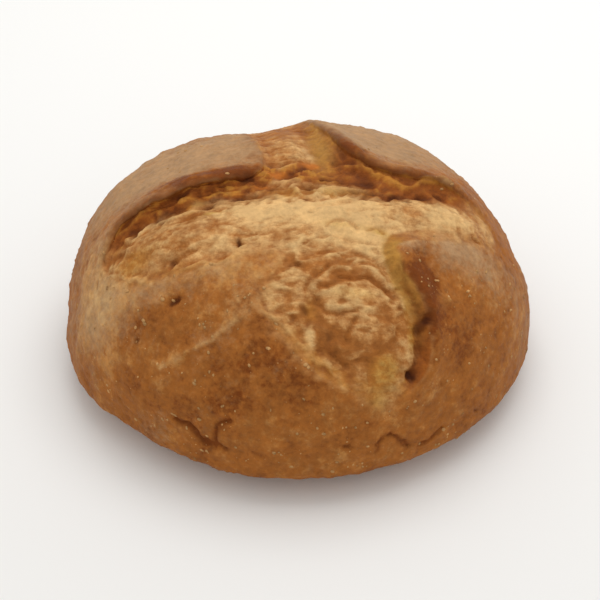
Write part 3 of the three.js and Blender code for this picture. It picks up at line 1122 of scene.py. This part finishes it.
class NodeBench:
    """Adds and links nodes in one tree, left to right"""

    COLUMNS, COLUMN_WIDTH, ROW_HEIGHT = 12, 180, -220

    def __init__(self, tree):
        self.tree = tree
        self.count = 0

    def add(self, kind, **settings):
        node = self.tree.nodes.new(kind)
        self.count += 1
        row, column = divmod(self.count, self.COLUMNS)
        node.location = (self.COLUMN_WIDTH * column, self.ROW_HEIGHT * row)
        for name, value in settings.items():
            setattr(node, name, value)
        return node

    def feed(self, socket, value):
        """Links a socket, or sets it when the value is a plain number or colour"""
        if isinstance(value, bpy.types.NodeSocket):
            self.tree.links.new(value, socket)
        elif hasattr(socket.default_value, "__len__") and len(value) == 3 and len(socket.default_value) == 4:
            socket.default_value = (*value, 1)
        else:
            socket.default_value = value

    def fed(self, kind, inputs, **settings):
        """Adds a node and feeds its inputs, given by name or by place"""
        node = self.add(kind, **settings)
        for label, value in inputs.items():
            self.feed(node.inputs[label], value)
        return node

    def attribute(self, name, output="Fac"):
        return self.add("ShaderNodeAttribute", attribute_name=name).outputs[output]

    def maths(self, operation, first, second):
        return self.fed("ShaderNodeMath", {0: first, 1: second}, operation=operation).outputs[0]

    def mix(self, share, low, high, blend="MIX"):
        inputs = {"Factor": share, 6: low, 7: high}
        return self.fed("ShaderNodeMix", inputs, data_type="RGBA", blend_type=blend).outputs[2]

    def part(self, value, share):
        """A share of a value"""
        return self.maths("MULTIPLY", value, share)

    def texture(self, name, place):
        """The noise that TEXTURES describes under a name"""
        inputs = dict(zip(("Scale", "Detail", "Roughness", "Distortion"), TEXTURES[name]))
        return self.fed("ShaderNodeTexNoise", {"Vector": place, **inputs}).outputs["Fac"]

    def cells(self, place, scale):
        """A random colour for each small cell"""
        return self.fed("ShaderNodeTexVoronoi", {"Vector": place, "Scale": scale}).outputs["Color"]

    def drawn_out(self, place, scale):
        """Places squeezed or spread, so that what is laid on them is drawn out"""
        return self.fed("ShaderNodeMapping", {"Vector": place, "Scale": scale}).outputs[0]

    def weighed(self, name, place):
        """The named noise, as strong as TEXTURES says"""
        return self.part(self.texture(name, place), TEXTURES[name][-1])

    def shade(self, base, shift, weight):
        """Raises or lowers a value by how far another is from a half"""
        return self.maths("ADD", base, self.part(self.maths("SUBTRACT", shift, 0.5), weight))

    def roughen(self, base, place, *names):
        """Raises or lowers a value by the named noises, each as strong as TEXTURES says"""
        for name in names:
            base = self.shade(base, self.texture(name, place), TEXTURES[name][-1])
        return base

    def less(self, value, other, share):
        """A value lowered by a share of another"""
        return self.maths("SUBTRACT", value, self.part(other, share))

    def give_way(self, band, value, low, high):
        """Blends from one colour to the next as the value crosses the named band"""
        return self.mix(self.stretch(value, *BANDS[band]), low, high)

    def stretch(self, value, low, high, to_low=0.0, to_high=1.0):
        inputs = {"Value": value, "From Min": low, "From Max": high, "To Min": to_low, "To Max": to_high}
        return self.fed("ShaderNodeMapRange", inputs, interpolation_type="SMOOTHSTEP").outputs[0]


def node_group(name, inputs, outputs):
    """A new shader node group with its interface: (name, kind, default) for each input"""
    group = bpy.data.node_groups.new(name, "ShaderNodeTree")
    for label, kind, default in inputs:
        socket = group.interface.new_socket(label, in_out="INPUT", socket_type=kind)
        if default is not None:
            socket.default_value = default
    for label, kind in outputs:
        group.interface.new_socket(label, in_out="OUTPUT", socket_type=kind)
    bench = NodeBench(group)
    return group, bench, bench.add("NodeGroupInput"), bench.add("NodeGroupOutput")


def baked_mottle_group():
    """Fine uneven browning: lightens and darkens a colour in small blotches"""
    group, bench, given, result = node_group(
        "baked_mottle",
        (
            ("Colour", "NodeSocketColor", (0.5, 0.3, 0.1, 1)),
            ("Place", "NodeSocketVector", None),
            ("Strength", "NodeSocketFloat", 0.5),
        ),
        (("Colour", "NodeSocketColor"), ("Height", "NodeSocketFloat")),
    )
    place, colour = given.outputs["Place"], given.outputs["Colour"]
    both = bench.maths(
        "ADD", bench.weighed("mottle_blotches", place), bench.weighed("mottle_specks", place)
    )
    scaled = bench.part(bench.maths("SUBTRACT", both, 0.5), given.outputs["Strength"])
    factor = bench.maths("ADD", bench.part(scaled, MOTTLE_CONTRAST), 1.0)
    grey = bench.add("ShaderNodeCombineColor")
    for channel in grey.inputs:
        bench.feed(channel, factor)
    tinted = bench.mix(1.0, colour, grey.outputs[0], blend="MULTIPLY")
    bench.feed(result.inputs["Colour"], tinted)
    bench.feed(result.inputs["Height"], both)
    return group


def use_group(bench, group, **values):
    return bench.fed("ShaderNodeGroup", values, node_tree=group)


def new_material(name):
    material = bpy.data.materials.new(name)
    material.use_nodes = True
    material.node_tree.nodes.clear()
    bench = NodeBench(material.node_tree)
    shader = bench.add("ShaderNodeBsdfPrincipled")
    output = bench.add("ShaderNodeOutputMaterial")
    bench.feed(output.inputs["Surface"], shader.outputs[0])
    return material, bench, shader


def crust_colour(bench, colours, place, crest_shading, granular):
    """Golden to chestnut crust, dusted with flour, with pale patches and browned rims, and painted light on
    its crests and painted shade in its dips
    """
    bake = bench.roughen(bench.attribute("bake"), place, "bake_broad", "bake_patchy", "bake_fine")
    bake = bench.shade(bake, granular, WEIGHTS["granules_in_bake"])
    # Painted light and shade: the crust lighter on its crests and darker in its dips
    bake = bench.shade(bake, crest_shading, WEIGHTS["crest_shading_in_bake"])
    crust = bench.give_way("golden_to_rust", bake, colours.golden, colours.rust)
    crust = bench.give_way("rust_to_chestnut", bake, crust, colours.chestnut)
    dusted = bench.roughen(bench.attribute("flour"), place, "flour_drifts", "flour_fine")
    dusted = bench.shade(dusted, crest_shading, WEIGHTS["crests_in_flour"])
    crust = bench.give_way("crust_to_flour", dusted, crust, colours.flour)
    fair = bench.roughen(bench.attribute("fair"), place, "fair")
    fair = bench.shade(fair, crest_shading, WEIGHTS["crests_in_fair_crust"])
    crust = bench.give_way("crust_to_fair", fair, crust, colours.dough)
    rim = bench.roughen(bench.attribute("rim"), place, "rim")
    return bench.give_way("crust_to_rim", rim, crust, colours.chestnut)


def dough_colours(bench, colours, place, crest_shading, fibres):
    """The burst dough from rust to pale, dusted and cracked, with painted light on its crests and painted
    shade in its dips, and its moist olive by itself
    """
    brown, flour = bench.attribute("brown"), bench.attribute("flour")
    # Painted light and shade: the dough paler on its crests and browner in its dips
    paling = bench.shade(bench.texture("dough_patchy", place), crest_shading, WEIGHTS["crest_shading_in_dough"])
    paling = bench.shade(paling, fibres, TEXTURES["dough_fibres"][-1])
    paling = bench.roughen(paling, place, "dough_broad")
    browning = bench.maths("SUBTRACT", brown, bench.attribute("pale"))
    paling = bench.shade(paling, browning, WEIGHTS["browning_in_dough"])
    greening = bench.roughen(bench.attribute("olive"), place, "dough_moist")
    olive = bench.give_way("amber_to_olive", paling, colours.amber, colours.olive)
    dough = bench.give_way("rust_to_ochre", paling, colours.rust, colours.ochre)
    dough = bench.give_way("ochre_to_dough", paling, dough, colours.dough)
    dough = bench.give_way("dough_to_olive", greening, dough, olive)
    dusty = bench.shade(bench.texture("dough_flour", place), flour, WEIGHTS["flour_in_dough"])
    dusty = bench.less(dusty, brown, WEIGHTS["brown_in_floury_dough"])
    dough = bench.give_way("dough_to_flour", dusty, dough, colours.flour)
    cracked = bench.part(bench.attribute("crack"), WEIGHTS["cracks_in_dough"])
    return bench.mix(cracked, dough, colours.rust), olive


def torn_colour(bench, colours, place, crest_shading, olive):
    """The stringy torn face under a lip: scorched, amber on its strands, painted lighter on its crests and
    painted with shade in its hollows and along its edge and foot
    """
    strands = bench.drawn_out(bench.attribute("strand", "Vector"), STRANDS_TO_A_METRE)
    stripes = bench.maths("SUBTRACT", bench.texture("torn_stripes", strands), 0.5)
    stripes = bench.part(stripes, bench.attribute("stringy"))
    # Painted light and shade: high strands and crests lighter, towards golden, and low places darker
    height = bench.maths("ADD", crest_shading, bench.part(stripes, TEXTURES["torn_stripes"][-1]))
    height = bench.roughen(height, place, "torn_patchy")
    height = bench.less(height, bench.attribute("scorch"), WEIGHTS["scorch_in_torn_face"])
    face = bench.give_way("chestnut_to_mahogany", height, colours.chestnut, colours.mahogany)
    face = bench.give_way("mahogany_to_amber", height, face, colours.amber)
    face = bench.give_way("amber_to_golden", height, face, colours.golden)
    moist = bench.part(bench.attribute("olive"), WEIGHTS["olive_in_torn_face"])
    face = bench.mix(moist, face, olive)
    # Painted shade, nearly black, under the lip's edge and at the foot, less on high spots
    crevice_shade = bench.less(bench.attribute("crevice_shade"), height, WEIGHTS["height_in_crevice_shade"])
    return bench.give_way("torn_to_painted_shade", crevice_shade, face, colours.char)


def marked(bench, colours, surface):
    """Adds the painted glow, the dark lip edges of char and painted shade, the cracks and the painted shade
    in the holes
    """
    torn = bench.attribute("torn")
    # Painted glow on the thin moist dough
    surface = bench.give_way("to_painted_glow", bench.attribute("glow"), surface, colours.painted_glow)
    # The lip edges, charred and painted with shade
    surface = bench.mix(bench.attribute("char"), surface, colours.char)
    crust = bench.maths("SUBTRACT", 1.0, bench.attribute("opened"))
    cracked = bench.part(bench.attribute("crack"), bench.maths("MAXIMUM", crust, torn))
    surface = bench.mix(bench.part(cracked, WEIGHTS["cracks_in_crust"]), surface, colours.chestnut)
    # Painted shade in the holes
    hollow_shade = bench.part(bench.attribute("hollow_shade"), WEIGHTS["painted_shade_in_hollows"])
    return bench.mix(hollow_shade, surface, colours.char)


def texture_surface(bench, shader, place, mottle_height, granular, fibres):
    """The bump, the roughness and the sheen of the crust and the dough"""
    height = bench.maths("ADD", mottle_height, bench.weighed("pores", place))
    height = bench.maths("ADD", height, bench.part(granular, WEIGHTS["granules_in_bump"]))
    opened = bench.attribute("opened")
    drawn = bench.part(bench.part(opened, fibres), WEIGHTS["fibres_in_bump"])
    height = bench.maths("ADD", height, drawn)
    bump = bench.fed("ShaderNodeBump", {"Strength": BUMP_STRENGTH, "Distance": BUMP_DEPTH, "Height": height})
    bench.feed(shader.inputs["Normal"], bump.outputs[0])
    bench.feed(shader.inputs["Roughness"], bench.stretch(mottle_height, *BANDS["crust_roughness"]))
    bench.feed(shader.inputs["Specular IOR Level"], bench.stretch(opened, *BANDS["crust_specular"]))


def crust_material(colours, mottle):
    material, bench, shader = new_material("loaf_crust")
    place = bench.add("ShaderNodeTexCoord").outputs["Object"]
    # How high each spot stands, for painted light on the crests and painted shade in the dips
    crest_shading = bench.attribute("crest_shading")
    granular = bench.cells(place, GRANULES_TO_A_METRE)
    fibres = bench.texture("dough_fibres", bench.drawn_out(place, FIBRES_DRAWN_OUT))
    crust = crust_colour(bench, colours, place, crest_shading, granular)
    dough, olive = dough_colours(bench, colours, place, crest_shading, fibres)
    surface = bench.mix(bench.attribute("opened"), crust, dough)
    torn = torn_colour(bench, colours, place, crest_shading, olive)
    surface = marked(bench, colours, bench.mix(bench.attribute("torn"), surface, torn))
    strength = WEIGHTS["mottle_in_crust"]
    browned = use_group(bench, mottle, Colour=surface, Place=place, Strength=strength)
    bench.feed(shader.inputs["Base Color"], browned.outputs["Colour"])
    texture_surface(bench, shader, place, browned.outputs["Height"], granular, fibres)
    return material


def grain_material(colours, mottle):
    material, bench, shader = new_material("semolina_grain")
    place = bench.add("ShaderNodeTexCoord").outputs["Object"]
    strength = WEIGHTS["mottle_in_grains"]
    browned = use_group(bench, mottle, Colour=colours.grain, Place=place, Strength=strength)
    bench.feed(shader.inputs["Base Color"], browned.outputs["Colour"])
    roughness = bench.stretch(browned.outputs["Height"], *BANDS["grain_roughness"])
    bench.feed(shader.inputs["Roughness"], roughness)
    shader.inputs["Specular IOR Level"].default_value = GRAIN_SPECULAR
    return material


def floor_material(colours):
    material, bench, shader = new_material("studio_floor")
    bench.feed(shader.inputs["Base Color"], colours.floor)
    shader.inputs["Roughness"].default_value = FLOOR_ROUGHNESS
    shader.inputs["Specular IOR Level"].default_value = FLOOR_SPECULAR
    return material


# Grains of semolina, scattered by geometry nodes


def new_grain_tree():
    """An empty tree for the scattering, with its interface"""
    tree = bpy.data.node_groups.new("grain_scatter", "GeometryNodeTree")
    tree.is_modifier = True
    for label, kind, default in (
        ("Geometry", "NodeSocketGeometry", None),
        ("Density", "NodeSocketFloat", 30000.0),
        ("Smallest", "NodeSocketFloat", 0.0002),
        ("Largest", "NodeSocketFloat", 0.0006),
        ("Seed", "NodeSocketInt", GRAIN_SEED),
    ):
        socket = tree.interface.new_socket(label, in_out="INPUT", socket_type=kind)
        if default is not None:
            socket.default_value = default
    tree.interface.new_socket("Geometry", in_out="OUTPUT", socket_type="NodeSocketGeometry")
    return tree


def grain_scale(bench, smallest, largest):
    """A flattened shape for each grain, with few large grains"""
    draw = bench.add("FunctionNodeRandomValue", data_type="FLOAT")
    few_large = bench.maths("POWER", draw.outputs[1], FEW_LARGE)
    span = bench.maths("SUBTRACT", largest, smallest)
    size = bench.maths("ADD", smallest, bench.part(few_large, span))
    shapes = {0: FLATTEST_GRAIN, 1: FULLEST_GRAIN}
    flat = bench.fed("FunctionNodeRandomValue", shapes, data_type="FLOAT_VECTOR")
    inputs = {0: flat.outputs[0], "Scale": size}
    return bench.fed("ShaderNodeVectorMath", inputs, operation="SCALE").outputs[0]


def grain_turn(bench, lie):
    """Each grain turned at random about the way it lies"""
    spin = bench.fed("FunctionNodeRandomValue", {3: 2 * math.pi}, data_type="FLOAT")
    upright = bench.fed("ShaderNodeCombineXYZ", {"Z": spin.outputs[1]})
    inputs = {"Rotation": lie, "Rotate By": upright.outputs[0]}
    turn = bench.fed("FunctionNodeRotateEuler", inputs, rotation_type="EULER", space="LOCAL")
    return turn.outputs["Rotation"]


def grain_tree(material):
    """Scatters flattened grains over a mesh, thickest where its grain_ground attribute is high"""
    tree = new_grain_tree()
    bench = NodeBench(tree)
    given, result = bench.add("NodeGroupInput"), bench.add("NodeGroupOutput")
    ground = bench.fed("GeometryNodeInputNamedAttribute", {"Name": "grain_ground"}, data_type="FLOAT")
    density = bench.part(ground.outputs["Attribute"], given.outputs["Density"])
    inputs = {"Mesh": given.outputs["Geometry"], "Density": density, "Seed": given.outputs["Seed"]}
    scatter = bench.fed("GeometryNodeDistributePointsOnFaces", inputs, distribute_method="RANDOM")
    grain = bench.fed("GeometryNodeMeshIcoSphere", {"Radius": 1.0, "Subdivisions": 1})
    inputs = {
        "Points": scatter.outputs["Points"],
        "Instance": grain.outputs["Mesh"],
        "Rotation": grain_turn(bench, scatter.outputs["Rotation"]),
        "Scale": grain_scale(bench, given.outputs["Smallest"], given.outputs["Largest"]),
    }
    place = bench.fed("GeometryNodeInstanceOnPoints", inputs)
    real = bench.fed("GeometryNodeRealizeInstances", {"Geometry": place.outputs["Instances"]})
    inputs = {"Geometry": real.outputs["Geometry"], "Material": material}
    finish = bench.fed("GeometryNodeSetMaterial", inputs)
    bench.feed(result.inputs["Geometry"], finish.outputs["Geometry"])
    return tree


def set_inputs(modifier, **values):
    for item in modifier.node_group.interface.items_tree:
        if item.item_type == "SOCKET" and item.name in values:
            modifier[item.identifier] = values[item.name]


def link(name, data):
    piece = bpy.data.objects.new(name, data)
    bpy.context.scene.collection.objects.link(piece)
    return piece


def smooth_shaded(mesh):
    mesh.polygons.foreach_set("use_smooth", [True] * len(mesh.polygons))


class BAKERY_OT_shape_loaf(bpy.types.Operator):
    """Shapes the loaf: its body, the lifted lips of the cross, the burst dough and the crust"""

    bl_idname = "bakery.shape_loaf"
    bl_label = "Shape the loaf"

    def execute(self, context):
        scene = context.scene
        shaper = LoafShaper(scene.bakery_crust)
        mesh = ball_mesh()
        points = shaper.shape(mesh)
        middle = (points.min(0) + points.max(0)) / 2
        points[:, :2] -= middle[:2]
        mesh.vertices.foreach_set("co", (points * MM).ravel())
        mesh.update()
        smooth_shaded(mesh)
        mottle = baked_mottle_group()
        mesh.materials.append(crust_material(scene.bakery_colours, mottle))
        loaf = link("sourdough_loaf", mesh)
        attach(loaf, BODY)
        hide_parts(NODE)
        return {"FINISHED"}


class BAKERY_OT_scatter_grains(bpy.types.Operator):
    """Scatters semolina grains over the crust of the loaf"""

    bl_idname = "bakery.scatter_grains"
    bl_label = "Scatter the grains"

    def execute(self, context):
        scene = context.scene
        settings = scene.bakery_grains
        material = grain_material(scene.bakery_colours, bpy.data.node_groups["baked_mottle"])
        ground = link("grain_ground", bpy.data.objects["sourdough_loaf"].data.copy())
        modifier = ground.modifiers.new("scatter", "NODES")
        modifier.node_group = grain_tree(material)
        set_inputs(
            modifier,
            Density=settings.density,
            Smallest=settings.smallest,
            Largest=settings.largest,
        )
        evaluated = ground.evaluated_get(context.evaluated_depsgraph_get())
        mesh = bpy.data.meshes.new_from_object(evaluated)
        bpy.data.objects.remove(ground)
        if not len(mesh.polygons):
            raise RuntimeError("no grain was scattered")
        mesh.name = "semolina_grains"
        smooth_shaded(mesh)
        grains = link("semolina_grains", mesh)
        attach(grains, BODY)
        return {"FINISHED"}


class BAKERY_OT_set_stage(bpy.types.Operator):
    """Sets the floor, the soft lights and the camera"""

    bl_idname = "bakery.set_stage"
    bl_label = "Set the stage"

    def execute(self, context):
        stage = context.scene.bakery_stage
        self.lay_floor(stage, context.scene.bakery_colours)
        self.hang_lights(context.scene, stage)
        self.place_camera(context.scene, stage)
        context.scene.view_settings.view_transform = "Standard"
        return {"FINISHED"}

    def lay_floor(self, stage, colours):
        half = stage.floor_width / 2
        mesh = bpy.data.meshes.new("studio_floor")
        corners = [(-half, -half, 0), (half, -half, 0), (half, half, 0), (-half, half, 0)]
        mesh.from_pydata(corners, [], [(0, 1, 2, 3)])
        mesh.materials.append(floor_material(colours))
        link("studio_floor", mesh)

    def hang_lights(self, scene, stage):
        world = bpy.data.worlds.new("studio_sky")
        world.use_nodes = True
        sky = world.node_tree.nodes["Background"]
        sky.inputs["Color"].default_value = SKY_COLOUR
        sky.inputs["Strength"].default_value = stage.sky_strength
        scene.world = world
        lamp = bpy.data.lights.new("key_light", "AREA")
        lamp.energy = stage.key_power
        lamp.size = KEY_WIDTH
        light = link("key_light", lamp)
        light.location = KEY_PLACE
        light.rotation_euler = Euler([math.radians(angle) for angle in KEY_LEAN])

    def place_camera(self, scene, stage):
        middle = Vector(CAMERA_TURNS_ABOUT)
        back = Vector((0, -math.cos(stage.camera_elevation), math.sin(stage.camera_elevation)))
        aim = Vector(CAMERA_AIM)
        camera = link("camera", bpy.data.cameras.new("camera"))
        camera.data.lens = stage.lens
        camera.location = middle + stage.camera_distance * back
        camera.rotation_euler = (aim - camera.location).to_track_quat("-Z", "Y").to_euler()
        scene.camera = camera


class BAKERY_PT_panel(bpy.types.Panel):
    """Lists the loaf's pieces and its stage"""

    bl_idname = "BAKERY_PT_panel"
    bl_label = "Sourdough loaf"
    bl_space_type = "VIEW_3D"
    bl_region_type = "UI"
    bl_category = "Bakery"

    def draw(self, context):
        for operator in OPERATORS:
            self.layout.operator(operator.bl_idname)
        for name in SETTINGS:
            box = self.layout.box()
            settings = getattr(context.scene, name)
            for field in settings.bl_rna.properties.keys():
                if field not in ("name", "rna_type"):
                    box.prop(settings, field)


OPERATORS = (BAKERY_OT_set_stage, BAKERY_OT_shape_loaf, BAKERY_OT_scatter_grains)
SETTINGS = {
    "bakery_crust": CrustSettings,
    "bakery_grains": GrainSettings,
    "bakery_colours": ColourSettings,
    "bakery_stage": StageSettings,
}


def register():
    for group in (*SETTINGS.values(), *OPERATORS, BAKERY_PT_panel):
        bpy.utils.register_class(group)
    for name, group in SETTINGS.items():
        setattr(bpy.types.Scene, name, bpy.props.PointerProperty(type=group))


def unregister():
    for name in SETTINGS:
        delattr(bpy.types.Scene, name)
    for group in reversed((*SETTINGS.values(), *OPERATORS, BAKERY_PT_panel)):
        bpy.utils.unregister_class(group)


def main():
    register()
    bpy.ops.bakery.set_stage()
    bpy.ops.bakery.shape_loaf()
    bpy.ops.bakery.scatter_grains()


if __name__ == "__main__":
    main()
